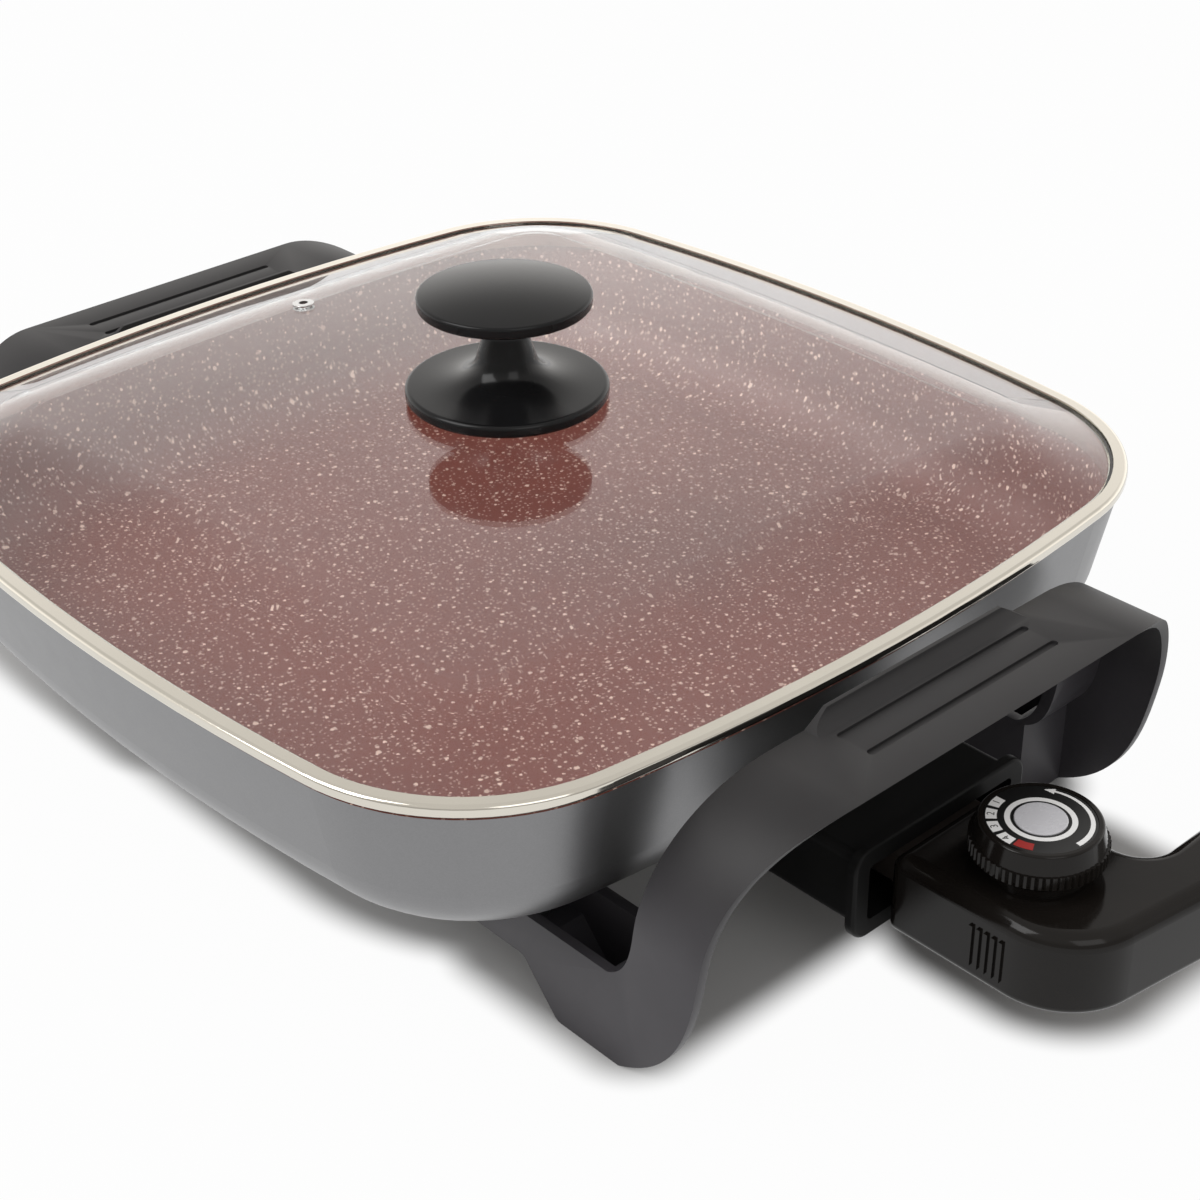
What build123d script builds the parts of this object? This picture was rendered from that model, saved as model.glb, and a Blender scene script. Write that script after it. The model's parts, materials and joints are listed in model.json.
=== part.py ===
from build123d import *
import math
import os

# Electric skillet: a square cast pan on two handles that are also its legs, a glass lid that lifts
# off, and a thermostat control that plugs in under the right-hand grip.
# Millimetres, +Z up. The origin is on the table under the middle of the pan, +X points from the pan
# to the control, and +Y runs along the grips.

# Clearances
lift_gap = 0.6  # between pieces that lift off, slide or turn past each other
shaft_gap = 0.06  # round a screw, pin or shaft in its hole
seat_gap = 0.1  # round pieces that are fitted together for good

# Pan
pan_mouth_half = 155.0  # middle of one side at the lip, from the centre
pan_corner_r = 60.0
pan_side_r = 760.0  # the sides bow out a little
pan_base_z = 42.0  # underside above the table
pan_depth = 47.0
pan_wall = 2.2
pan_floor = 4.0
pan_taper = 11.0  # lean of the walls, degrees
pan_base_round = 23.5
pan_inside_round = 20.0

# Heater, its pins and the well for the probe, all on one level under the pan
heater_inset = 67.0  # heater loop, in from the pan's lip
heater_corner_r = 30.0
heater_bend_r = 16.0
heater_tube_r = 3.3
heater_drop = 4.5  # heater axis below the pan's underside
heater_rib_width = 12.0
heater_rib_depth = 7.0
heater_rib_run = 12.0  # rib along the leads, past their bends
lead_y = 12.0  # the two leads and pins stand this far from the probe
lead_sink = 30.0  # end of the leads, behind the guard's mouth
pin_r = 2.3
pin_length = 22.0
well_wall = 3.1  # casting at each side of the well
well_depth = 52.0
well_cover = 2.6  # casting below the well

# Handles: an arch along each side of the pan, cut to the outline of a leg
grip_gap = 7.0  # from the pan's lip to the grip
grip_width = 31.0
grip_drop = 1.5  # grip below the pan's lip
arch_half = 95.4
arch_round = 40.0
handle_shell = 3.0
knee_reach = 25.0  # outer edge of the leg, from the pan's lip
knee_z = 57.0
ankle_reach = 20.0
ankle_z = 30.5
heel_reach = -5.7
toe_reach = -29.6
shoulder_reach = 30.0
shoulder_drop = 12.0
calf_reach = 0.6  # inner edge of the leg, from the pan's lip
calf_z = 51.0
notch_reach = -9.6
tongue_gap = 12.5  # between the pan's underside and the tongue
tongue_height = 14.5
tongue_reach = -65.0
instep_reach = -43.0  # where the tongue's underside turns down to the foot
foot_wall = 3.5
foot_side_gap = 2.2  # inside a hollow foot, at each side of the screw's boss
grip_rib_depth = 5.0
grip_rib_width = 3.0
grip_lip_height = 4.5
grip_lip_thickness = 1.2
grip_lip_sweep = 4.5  # hollow that leads from the grip up to the lip
grip_lip_half = 35.0
grip_lip_ramp = 7.0
groove_half = 38.0
groove_r = 1.2
groove_depth = 0.9
groove_reaches = (15.0, 25.0)

# Screws under the pan
handle_boss_r = 6.5
handle_boss_gap = 1.0  # from the end wall of the tongue
screw_r = 2.0
screw_head_r = 4.0
screw_head_h = 2.4
screw_bite = 12.0  # length of thread in the pan
washer_r = 5.4
washer_t = 1.0

# Socket guard
guard_mouth_gap = 21.0  # mouth of the guard, from the pan's lip
guard_half_width = 32.0
guard_above = 10.2  # above the heater axis
guard_below = 12.8
guard_wall = 2.5
guard_round = 3.0
guard_back_inset = 36.0  # back of the guard, in from the pan's lip
flange_t = 3.0
flange_rise = 3.0
guard_tab_drop = 6.0  # top of the screw tabs, below the pan's underside
guard_tab_t = 3.0
guard_tab_reach = 14.0
guard_screw_inset = 6.0  # from the guard's side
guard_boss_r = 4.5

# Lid
rim_overhang = 1.7  # rim beyond the pan's lip
rim_sheet = 0.6
rim_play = 0.1  # above the glass, inside the rim
rim_shadow_gap = 1.2  # open line between pan and rim
rim_round = 1.3
rim_top_width = 4.4
seat_inset = 0.4  # bead that stands on the pan's lip
seat_width = 1.4
skirt_depth = 6.0
skirt_t = 0.6
glass_t = 2.4
glass_shoulder_gap = 1.0  # between the rim's top and the shoulder
glass_shoulder_lean = 70.0  # degrees from upright
glass_shoulder_r = 60.0
dome_rise = 22.0  # top of the glass above the pan's lip
dome_r = 1590.0
vent_reach = 104.0
vent_hole_r = 1.5
vent_tube_r = 2.2
vent_flange_r = 3.6
vent_flange_t = 0.6

# Knob
knob_seal_r = 20.0
knob_seal_t = 0.8
knob_foot_r = 31.0
knob_foot_lip = 4.0
knob_foot_rim = 4.0
knob_waist_r = 9.0
knob_waist_rise = 13.0
knob_neck_r = 6.6
knob_top_r = 26.3
knob_top_lip = 3.6
knob_top_crown = 3.0
knob_height = 36.0
knob_screw_r = 2.5
knob_screw_head_r = 4.8
knob_screw_head_h = 3.0
knob_screw_bite = 14.0
knob_washer_r = 9.0
knob_washer_t = 1.0

# Control case
control_gap = 2.0  # case in front of the guard's mouth
control_near_gap = 2.8  # inside the near wall, beside the plug block's collar
control_far_gap = 0.8
control_roof_gap = 0.3  # above the collar
control_wall = 2.2
control_top_round = 4.5
control_bottom_round = 2.5
control_length = 39.0  # front to where the outer corner starts
control_corner_r = 24.0
control_corner_turn = 82.0  # degrees
control_nose_round = 3.0
arm_width = 25.5  # at its end
arm_end_y = 73.0
arm_end_round = 5.0
elbow_r = 10.0
inlet_r = 4.5
inlet_offset = 12.5  # from the arm's inner edge
inlet_depth = 6.0
rib_count = 5
rib_pitch = 2.4
rib_width = 1.2
rib_proud = 0.7
rib_start = 28.0  # first rib, from the front
rib_z_low = 4.6  # above the underside
rib_z_high = 17.4
post_wall = 0.6  # round the head of a screw
shell_screw_r = 1.4
shell_screw_head_r = 2.6
shell_screw_head_h = 1.8
shell_screw_sink = 3.2
shell_screw_bite = 8.0

# Inside the control
pin_bare = 6.0  # bare length of the pins, in front of the plug block
pin_tip_gap = 6.0  # beyond the tip of a pin, in its sleeve
nose_wall = 1.4  # plug block beside a sleeve
nose_cover = 2.4  # and above and below it
nose_collar = 2.0
nose_collar_t = 3.5
nose_back = 12.0
socket_wall = 0.9
socket_inset = 1.0
tag_length = 2.0
rod_r = 3.3
rod_tip_gap = 2.0
frame_t = 1.2
frame_half_width = 9.0
frame_post_h = 2.0
frame_post_r = 3.0
frame_base_length = 28.0
frame_margin = 4.0  # roof of the frame, beyond the shaft's hole
bead_r = 4.0
bead_h = 2.6
bead_x = 6.0  # from the frame's back
bead_shaft_gap = 1.9
stack_gap = 2.4  # between the top bead and the frame's roof
blade_t = 0.5
blade_half_width = 3.2
blade_length = 26.0
lamp_r = 1.9
lamp_half_length = 6.0
lamp_gap = 3.0  # between the lamp and the shaft's collar
lamp_roof_gap = 0.9  # above the lamp
block_width = 12.0  # terminal block
block_length = 18.0
block_height = 9.0
block_inset = 1.8  # from the arm's inner wall
block_post_gap = 8.4

# Dial
pedestal_inset = 1.0  # in from the dial's foot
pedestal_h = 3.4
pedestal_ring = 0.6
dial_height = 10.5
knurl_r = 18.3
dial_undercut = 3.3  # dial's foot, in from the knurl
knurl_low = 1.4
knurl_high = 5.2
knurl_count = 60
knurl_cut = 0.8
knurl_step = 0.7  # side of the dial, in from the knurl
dial_draft = 1.4  # and its top edge, in from the side
dial_edge_r = 0.8
dial_rim = 1.6  # round the printed disc
face_t = 0.6
face_sink = 0.8
cap_r = 7.0
cap_t = 1.0
shaft_r = 3.0
shaft_bury = 7.0  # shaft inside the dial
shaft_collar_r = 5.0
shaft_collar_t = 1.6
shaft_blade_gap = 0.6

# Levels and places that follow from the sizes above
pan_lip_z = pan_base_z + pan_depth
pan_floor_z = pan_base_z + pan_floor
heater_half = pan_mouth_half - heater_inset
heater_z = pan_base_z - heater_drop
heater_rib_reach = heater_half + heater_bend_r + heater_rib_run
rib_bottom_z = pan_base_z - heater_rib_depth
well_mouth_x = heater_rib_reach
well_half_width = rod_r + lift_gap + well_wall
well_rise = rod_r + lift_gap + well_cover
grip_z = pan_lip_z - grip_drop
grip_inner_x = pan_mouth_half + grip_gap
grip_outer_x = grip_inner_x + grip_width
tongue_top_z = pan_base_z - tongue_gap
tongue_bottom_z = tongue_top_z - tongue_height
tongue_floor_z = tongue_bottom_z + foot_wall
tongue_end_x = pan_mouth_half + tongue_reach
foot_width = 2 * (handle_boss_r + foot_side_gap) + handle_shell + foot_wall
foot_front_x = pan_mouth_half + heel_reach
notch_x = pan_mouth_half + notch_reach
handle_screw_x = tongue_end_x + foot_wall + handle_boss_gap + handle_boss_r
handle_screw_y = arch_half - handle_shell - foot_side_gap - handle_boss_r
handle_screw_spots = [(i * handle_screw_x, j * handle_screw_y) for i in (-1, 1) for j in (-1, 1)]
guard_mouth_x = pan_mouth_half + guard_mouth_gap
guard_back = pan_mouth_half - guard_back_inset
guard_tab_z = pan_base_z - guard_tab_drop
guard_screw_x = guard_back - guard_tab_reach / 2
guard_screw_y = guard_half_width - guard_screw_inset
guard_screw_spots = [(guard_screw_x, -guard_screw_y), (guard_screw_x, guard_screw_y)]
lead_end_x = guard_mouth_x - lead_sink
rim_bottom_z = pan_lip_z + rim_shadow_gap
rim_height = glass_t + 2 * rim_sheet + rim_play
glass_seat_z = rim_bottom_z + rim_sheet
glass_edge_z = glass_seat_z + glass_t
glass_shoulder_inset = rim_top_width - rim_overhang + glass_shoulder_gap
skirt_inset = pan_wall + skirt_depth * math.tan(math.radians(pan_taper)) + lift_gap
dome_top_z = pan_lip_z + dome_rise
knob_foot_z = dome_top_z + seat_gap
knob_waist_z = knob_foot_z + knob_waist_rise
knob_top_z = knob_foot_z + knob_height
socket_r = pin_r + lift_gap / 2 + socket_wall
nose_half_width = lead_y + socket_r + seat_gap + nose_wall
nose_half_height = socket_r + seat_gap + nose_cover
nose_front_x = lead_end_x + pin_bare
socket_x = nose_front_x + socket_inset
socket_bore = lead_end_x + pin_length + pin_tip_gap - socket_x
control_front_x = guard_mouth_x + control_gap
control_near_y = -(nose_half_width + nose_collar + control_near_gap + control_wall)
control_far_y = nose_half_width + nose_collar + control_far_gap + control_wall
control_roof_z = heater_z + nose_half_height + nose_collar + control_roof_gap
control_top_z = control_roof_z + control_wall
seam_z = heater_z - nose_half_height - seat_gap
nose_back_x = control_front_x + nose_back
frame_x = nose_back_x + tag_length + seat_gap
frame_top_z = control_roof_z - lamp_roof_gap - 2 * lamp_r - seat_gap
frame_z = frame_top_z - 2 * frame_t - stack_gap - 3 * bead_h - 2 * blade_t
control_floor_z = frame_z - frame_post_h
control_bottom_z = control_floor_z - control_wall
control_seam = seam_z - control_bottom_z
dial_x = frame_x + bead_x + bead_r + bead_shaft_gap + shaft_r
frame_roof_x = dial_x + shaft_r + shaft_gap + frame_margin
lamp_x = dial_x - shaft_collar_r - lamp_gap - lamp_r
pedestal_z = control_top_z + pedestal_h
dial_z = pedestal_z + lift_gap
dial_foot_r = knurl_r - dial_undercut
pedestal_r = dial_foot_r - pedestal_inset
dial_side_r = knurl_r - knurl_step
dial_face_r = dial_side_r - dial_draft
face_r = dial_face_r - dial_rim
dial_top_z = dial_z + dial_height
lower_blade_z = frame_z + frame_t + bead_h
upper_blade_z = lower_blade_z + blade_t + bead_h
corner_turn = math.radians(control_corner_turn)
corner_end_x = control_front_x + control_length + control_corner_r * math.sin(corner_turn)
corner_end_y = control_near_y + control_corner_r * (1 - math.cos(corner_turn))
arm_outer_x = corner_end_x + (arm_end_y - corner_end_y) / math.tan(corner_turn)
arm_inner_x = arm_outer_x - arm_width
inlet_x = arm_inner_x + inlet_offset
inlet_z = (seam_z + control_roof_z) / 2
post_r = shell_screw_head_r + post_wall
post_spots = [
    (frame_x + post_r, control_near_y + control_wall + post_r + seat_gap),
    (frame_x + post_r, control_far_y - control_wall - post_r - seat_gap),
    (arm_inner_x + control_wall + post_r + seat_gap, arm_end_y - inlet_depth - 2 * post_r),
]
block_x = arm_inner_x + control_wall + block_inset + block_width / 2
block_y = post_spots[-1][1] - post_r - block_post_gap - block_length / 2


def bowed_square(inset):
    """Draw the pan's plan, drawn in by inset all round, in the sketch at hand."""
    half = pan_mouth_half - inset
    corner_r = pan_corner_r - inset
    side_r = pan_side_r - inset
    side_centre = half - side_r
    between = side_r - corner_r
    corner_centre = (side_centre + math.sqrt(2 * between**2 - side_centre**2)) / 2
    reach = side_r / between
    tangent = Vector(side_centre + (corner_centre - side_centre) * reach, corner_centre * reach)
    mirrored = Vector(tangent.X, -tangent.Y)
    swapped = Vector(tangent.Y, tangent.X)
    corner_mid = Vector(1, 1) * (corner_centre + corner_r / math.sqrt(2))
    with BuildLine() as outline:
        for quarter in range(4):
            turn = 90 * quarter
            side = [p.rotate(Axis.Z, turn) for p in (mirrored, Vector(half, 0), tangent)]
            corner = [p.rotate(Axis.Z, turn) for p in (tangent, corner_mid, swapped)]
            ThreePointArc(*side)
            ThreePointArc(*corner)
    make_face(outline.edges())


def heater_line(end_x):
    """Draw the heater's loop with its two leads, which end at end_x, in the line at hand."""
    half = heater_half
    FilletPolyline(
        (end_x, -lead_y),
        (half, -lead_y),
        (half, -half),
        (-half, -half),
        (-half, half),
        (half, half),
        (half, lead_y),
        (end_x, lead_y),
        radius=[heater_bend_r] + 4 * [heater_corner_r] + [heater_bend_r],
    )


def calf_line(shift):
    """Return the leg's edge at the pan side, moved away from the pan, in the line at hand."""
    return Spline(
        (notch_x + shift, tongue_top_z),
        (pan_mouth_half + calf_reach + shift, calf_z),
        (grip_inner_x + shift, grip_z),
        tangents=((1, 0.4), (0.3, 1)),
    )


def leg_outline():
    """Draw a handle seen along the grip, with grip, leg, foot and tongue, in the sketch at hand."""
    lip = pan_mouth_half
    with BuildLine() as outline:
        outer = Spline(
            (grip_outer_x, grip_z),
            (lip + shoulder_reach, grip_z - shoulder_drop),
            (lip + knee_reach, knee_z),
            (lip + ankle_reach, ankle_z),
            (foot_front_x, 0),
        )
        under = FilletPolyline(
            outer @ 1,
            (lip + toe_reach, 0),
            (lip + instep_reach, tongue_bottom_z),
            (tongue_end_x, tongue_bottom_z),
            (tongue_end_x, tongue_top_z),
            radius=foot_wall,
        )
        Line(under @ 1, (notch_x, tongue_top_z))
        inner = calf_line(0)
        Line(inner @ 1, outer @ 0)
    make_face(outline.edges())


def foot_hollow():
    """Draw the hollow of a foot and its tongue, which is open above, in the sketch at hand."""
    lip = pan_mouth_half
    back_x = tongue_end_x + foot_wall
    with BuildLine() as outline:
        Polyline(
            (back_x, tongue_top_z),
            (back_x, tongue_floor_z),
            (lip + instep_reach + foot_wall / 2, tongue_floor_z),
            (lip + toe_reach + foot_wall / 2, foot_wall),
            (notch_x, foot_wall),
            (notch_x, tongue_top_z),
            close=True,
        )
    make_face(outline.edges())


def behind_web():
    """Draw all that lies at the pan side of a leg's web and foot, in the sketch at hand."""
    with BuildLine() as outline:
        web = calf_line(foot_front_x - notch_x)
        Polyline(
            web @ 1,
            (tongue_end_x, grip_z),
            (tongue_end_x, 0),
            (foot_front_x, 0),
            web @ 0,
        )
    make_face(outline.edges())


def control_plan():
    """Draw the control's plan, with its nose end, outer corner and arm, in the sketch at hand."""
    corner_x = control_front_x + control_length
    with BuildLine() as outline:
        corner = JernArc((corner_x, control_near_y), (1, 0), control_corner_r, control_corner_turn)
        FilletPolyline(
            corner @ 1,
            (arm_outer_x, arm_end_y),
            (arm_inner_x, arm_end_y),
            (arm_inner_x, control_far_y),
            (control_front_x, control_far_y),
            (control_front_x, control_near_y),
            corner @ 0,
            radius=2 * [arm_end_round] + [elbow_r] + 2 * [control_nose_round],
        )
    make_face(outline.edges())


def screw(head_r, head_h, shank_r, shank_length):
    """Make a cross-head screw that points along Z from its seat, at the locations at hand."""
    Cylinder(head_r, head_h, align=(Align.CENTER, Align.CENTER, Align.MAX))
    Cylinder(shank_r, shank_length, align=(Align.CENTER, Align.CENTER, Align.MIN))
    slot_width = head_r / 4
    slot_depth = head_h / 2
    with Locations((0, 0, -head_h)):
        for turn in (0, 90):
            Box(
                1.3 * head_r,
                slot_width,
                2 * slot_depth,
                rotation=(0, 0, turn),
                mode=Mode.SUBTRACT,
            )


def pan_block(inset, low_z, high_z, round_r):
    """Return a solid with the pan's plan and taper between two levels, rounded below."""
    with BuildPart() as block:
        lean = math.tan(math.radians(pan_taper)) * (high_z - low_z)
        with BuildSketch(Plane.XY.offset(low_z)):
            bowed_square(inset + lean)
        extrude(amount=high_z - low_z, taper=-pan_taper)
        fillet(block.edges().group_by(Axis.Z)[0], round_r)
    return block.part


def dome_point(x, y):
    """Return the point of the dome's outer face above x, y."""
    return Vector(x, y, dome_top_z - dome_r + math.sqrt(dome_r**2 - x**2 - y**2))


# Pan: tapered shell, with heater rib, probe well and screw bosses cast on below
pan_outside = pan_block(0, pan_base_z, pan_lip_z, pan_base_round)
pan_inside = pan_block(pan_wall, pan_floor_z, pan_lip_z, pan_inside_round)
pan_clearance = pan_block(-lift_gap, pan_base_z - lift_gap, pan_lip_z, pan_base_round)

with BuildPart() as pan_body:
    add(pan_outside)
    add(pan_inside, mode=Mode.SUBTRACT)
    with BuildSketch(Plane.XY.offset(rib_bottom_z)):
        with BuildLine():
            heater_line(heater_rib_reach)
        trace(line_width=heater_rib_width)
    extrude(amount=heater_rib_depth)
    with BuildSketch(Plane.XY.offset(heater_z - well_rise)):
        with Locations((well_mouth_x, 0)):
            Rectangle(well_depth + well_rise, 2 * well_half_width, align=(Align.MAX, Align.CENTER))
    extrude(amount=heater_drop + well_rise)
    with BuildSketch(Plane.XY.offset(tongue_floor_z)):
        with Locations(*handle_screw_spots):
            Circle(handle_boss_r)
    extrude(amount=pan_base_z - tongue_floor_z)
    with BuildSketch(Plane.XY.offset(guard_tab_z)):
        with Locations(*guard_screw_spots):
            Circle(guard_boss_r)
    extrude(amount=guard_tab_drop)
    with BuildSketch(Plane.XY.offset(rib_bottom_z)):
        with BuildLine():
            heater_line(heater_rib_reach)
        trace(line_width=2 * (heater_tube_r + seat_gap))
    extrude(amount=heater_z + heater_tube_r + seat_gap - rib_bottom_z, mode=Mode.SUBTRACT)
    with BuildSketch(Plane.YZ.offset(well_mouth_x)):
        with Locations((0, heater_z)):
            Circle(rod_r + lift_gap)
    extrude(amount=-well_depth, mode=Mode.SUBTRACT)
    with BuildSketch(Plane.XY.offset(tongue_floor_z)):
        with Locations(*handle_screw_spots):
            Circle(screw_r + shaft_gap)
    extrude(amount=screw_bite, mode=Mode.SUBTRACT)
    with BuildSketch(Plane.XY.offset(guard_tab_z)):
        with Locations(*guard_screw_spots):
            Circle(screw_r + shaft_gap)
    extrude(amount=guard_tab_drop, mode=Mode.SUBTRACT)

# Heater tube and the pins on its ends
with BuildPart() as heating_element:
    with BuildLine(Plane.XY.offset(heater_z)) as heater_path:
        heater_line(lead_end_x)
    with BuildSketch(Plane(heater_path.line @ 0, z_dir=heater_path.line % 0)):
        Circle(heater_tube_r)
    sweep(path=heater_path.line)

with BuildPart() as terminal_pins:
    with BuildSketch(Plane.YZ.offset(lead_end_x)):
        with Locations((-lead_y, heater_z), (lead_y, heater_z)):
            Circle(pin_r)
    extrude(amount=pin_length)
    chamfer(terminal_pins.edges().group_by(Axis.X)[-1], pin_r / 4)

# Lip along the pan side of a grip, swept up from the grip's top and ramped at both ends
lip_top_z = grip_z + grip_lip_height
lip_end = grip_lip_half + grip_lip_ramp
with BuildPart() as grip_lip:
    with BuildSketch(Plane.XZ.offset(-lip_end)):
        with BuildLine():
            foot_of_sweep = (grip_inner_x + grip_lip_thickness + grip_lip_sweep, grip_z)
            top_of_sweep = (grip_inner_x + grip_lip_thickness, lip_top_z)
            Polyline(
                foot_of_sweep,
                (foot_of_sweep[0], grip_z - handle_shell / 2),
                (grip_inner_x, grip_z - handle_shell / 2),
                (grip_inner_x, lip_top_z),
                top_of_sweep,
            )
            TangentArc(foot_of_sweep, top_of_sweep, tangent=(-1, 0))
        make_face()
    extrude(amount=2 * lip_end)
    with BuildSketch(Plane.YZ.offset(grip_inner_x)):
        with BuildLine():
            Polyline(
                (-lip_end, grip_z - handle_shell / 2),
                (lip_end, grip_z - handle_shell / 2),
                (lip_end, grip_z),
                (grip_lip_half, lip_top_z),
                (-grip_lip_half, lip_top_z),
                (-lip_end, grip_z),
                close=True,
            )
        make_face()
    extrude(amount=grip_width, mode=Mode.INTERSECT)

# Room inside a handle, up to the web along each leg and to the feet
with BuildPart() as under_arch:
    with BuildSketch(Plane.YZ.offset(tongue_end_x)) as room:
        Rectangle(2 * (arch_half - handle_shell), grip_z - handle_shell, align=(Align.CENTER, Align.MIN))
        fillet(room.vertices().group_by(Axis.Y)[-1], arch_round - handle_shell)
    extrude(amount=grip_outer_x - tongue_end_x)
    for side in (-1, 1):
        with BuildSketch(Plane.XZ.offset(side * arch_half)):
            behind_web()
        extrude(amount=-side * foot_width, mode=Mode.SUBTRACT)

# Handles: an arch over the leg outline, two hollow feet, and a grip with its lip and grooves
with BuildPart() as handle_right:
    with BuildSketch(Plane.XZ.offset(-arch_half)):
        leg_outline()
    extrude(amount=2 * arch_half)
    with BuildSketch(Plane.YZ.offset(tongue_end_x)) as arch:
        Rectangle(2 * arch_half, grip_z, align=(Align.CENTER, Align.MIN))
        fillet(arch.vertices().group_by(Axis.Y)[-1], arch_round)
    extrude(amount=grip_outer_x - tongue_end_x, mode=Mode.INTERSECT)
    add(under_arch.part, mode=Mode.SUBTRACT)
    for side in (-1, 1):
        pocket_plane = Plane.XZ.offset(side * (arch_half - handle_shell))
        with BuildSketch(pocket_plane):
            foot_hollow()
        extrude(amount=-side * (foot_width - handle_shell - foot_wall), mode=Mode.SUBTRACT)
        with Locations((handle_screw_x, side * handle_screw_y, tongue_bottom_z)):
            Cylinder(screw_r + seat_gap, 3 * foot_wall, mode=Mode.SUBTRACT)
    grip_run = 2 * (arch_half - arch_round)
    rib_top_z = grip_z - handle_shell
    for rib_x in (grip_inner_x, pan_mouth_half + shoulder_reach - 2 * grip_rib_width):
        with Locations((rib_x, 0, rib_top_z)):
            Box(
                grip_rib_width,
                grip_run,
                grip_rib_depth,
                align=(Align.MIN, Align.CENTER, Align.MAX),
            )
    add(grip_lip.part)
    with BuildSketch(Plane.XY.offset(grip_z)):
        with Locations(*[(pan_mouth_half + reach, 0) for reach in groove_reaches]):
            SlotOverall(2 * groove_half, 2 * groove_r, rotation=90)
    extrude(amount=-groove_depth, mode=Mode.SUBTRACT)

with BuildPart() as handle_left:
    mirror(handle_right.part, about=Plane.YZ)

with BuildPart() as handle_washers:
    with BuildSketch(Plane.XY.offset(tongue_bottom_z - washer_t)):
        with Locations(*handle_screw_spots):
            Circle(washer_r)
            Circle(screw_r + seat_gap, mode=Mode.SUBTRACT)
    extrude(amount=washer_t)

with BuildPart() as handle_screws:
    with Locations(*[(x, y, tongue_bottom_z - washer_t) for x, y in handle_screw_spots]):
        screw(screw_head_r, screw_head_h, screw_r, washer_t + foot_wall + screw_bite - lift_gap)

# Socket guard: a box open at both ends, cut clear of the pan, with two screw tabs and a flange
with BuildPart() as socket_guard:
    guard_mid_z = heater_z + (guard_above - guard_below) / 2
    guard_height = guard_above + guard_below
    with BuildSketch(Plane.YZ.offset(guard_back)):
        with Locations((0, guard_mid_z)):
            RectangleRounded(2 * guard_half_width, guard_height, guard_round)
    extrude(amount=guard_mouth_x - guard_back)
    with BuildSketch(Plane.YZ.offset(guard_mouth_x - flange_t)):
        with Locations((0, guard_mid_z)):
            RectangleRounded(
                2 * (guard_half_width + flange_rise),
                guard_height + 2 * flange_rise,
                guard_round + flange_rise,
            )
    extrude(amount=flange_t)
    fillet(socket_guard.edges().group_by(Axis.X)[-1], flange_t / 3)
    for side in (-1, 1):
        with Locations((guard_back, side * guard_half_width, guard_tab_z)):
            Box(
                2 * guard_tab_reach,
                2 * guard_screw_inset,
                guard_tab_t,
                align=(Align.CENTER, Align.MIN if side < 0 else Align.MAX, Align.MAX),
            )
    with BuildSketch(Plane.YZ.offset(guard_back)):
        with Locations((0, guard_mid_z)):
            RectangleRounded(
                2 * (guard_half_width - guard_wall),
                guard_height - 2 * guard_wall,
                guard_round - guard_wall / 2,
            )
    extrude(amount=guard_mouth_x - guard_back, mode=Mode.SUBTRACT)
    add(pan_clearance, mode=Mode.SUBTRACT)
    with Locations(*[(x, y, guard_tab_z) for x, y in guard_screw_spots]):
        Cylinder(screw_r + seat_gap, 2 * guard_tab_t, mode=Mode.SUBTRACT)

with BuildPart() as guard_screws:
    with Locations(*[(x, y, guard_tab_z - guard_tab_t) for x, y in guard_screw_spots]):
        screw(screw_head_r, screw_head_h, screw_r, guard_tab_t + guard_tab_drop - lift_gap)

# Lid rim: a rolled channel round the glass, with a bead on the pan's lip and a skirt inside it
with BuildPart() as lid_rim:
    with BuildSketch(Plane.XY.offset(rim_bottom_z)):
        bowed_square(-rim_overhang)
    extrude(amount=rim_height)
    outer_faces = lid_rim.faces().filter_by(Axis.Z)
    fillet(outer_faces.edges(), rim_round)
    with BuildSketch(Plane.XY.offset(glass_seat_z)):
        bowed_square(rim_sheet - rim_overhang)
    extrude(amount=rim_height - 2 * rim_sheet, mode=Mode.SUBTRACT)
    with BuildSketch(Plane.XY.offset(rim_bottom_z)):
        bowed_square(skirt_inset + skirt_t)
    extrude(amount=rim_height, mode=Mode.SUBTRACT)
    with BuildSketch(Plane.XY.offset(glass_seat_z)):
        bowed_square(rim_top_width - rim_overhang)
    extrude(amount=rim_height, mode=Mode.SUBTRACT)
    with BuildSketch(Plane.XY.offset(pan_lip_z)):
        bowed_square(seat_inset)
        with BuildSketch(mode=Mode.PRIVATE) as inside_bead:
            bowed_square(seat_inset + seat_width)
        add(inside_bead.sketch, mode=Mode.SUBTRACT)
    extrude(amount=glass_seat_z - pan_lip_z)
    with BuildSketch(Plane.XY.offset(pan_lip_z - skirt_depth)):
        bowed_square(skirt_inset)
        with BuildSketch(mode=Mode.PRIVATE) as inside_skirt:
            bowed_square(skirt_inset + skirt_t)
        add(inside_skirt.sketch, mode=Mode.SUBTRACT)
    extrude(amount=glass_seat_z - pan_lip_z + skirt_depth)

# Glass: a flat edge in the rim, a leaning shoulder and a shallow dome, all of one thickness upright
with BuildPart() as dome:
    with BuildSketch(Plane.XY.offset(glass_edge_z)):
        bowed_square(glass_shoulder_inset)
    extrude(amount=dome_top_z - glass_edge_z, taper=glass_shoulder_lean)
    with Locations((0, 0, dome_top_z - dome_r)):
        Sphere(dome_r, rotation=(90, 0, 0), mode=Mode.INTERSECT)
    shoulder = dome.faces().filter_by(GeomType.SPHERE).sort_by(Axis.Z)[-1].edges()
    fillet(shoulder, glass_shoulder_r)

glass_inside = Pos(0, 0, -glass_t) * dome.part
vent_plane = Plane(
    dome_point(-vent_reach, 0),
    z_dir=dome_point(-vent_reach, 0) - Vector(0, 0, dome_top_z - dome_r),
)

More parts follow.
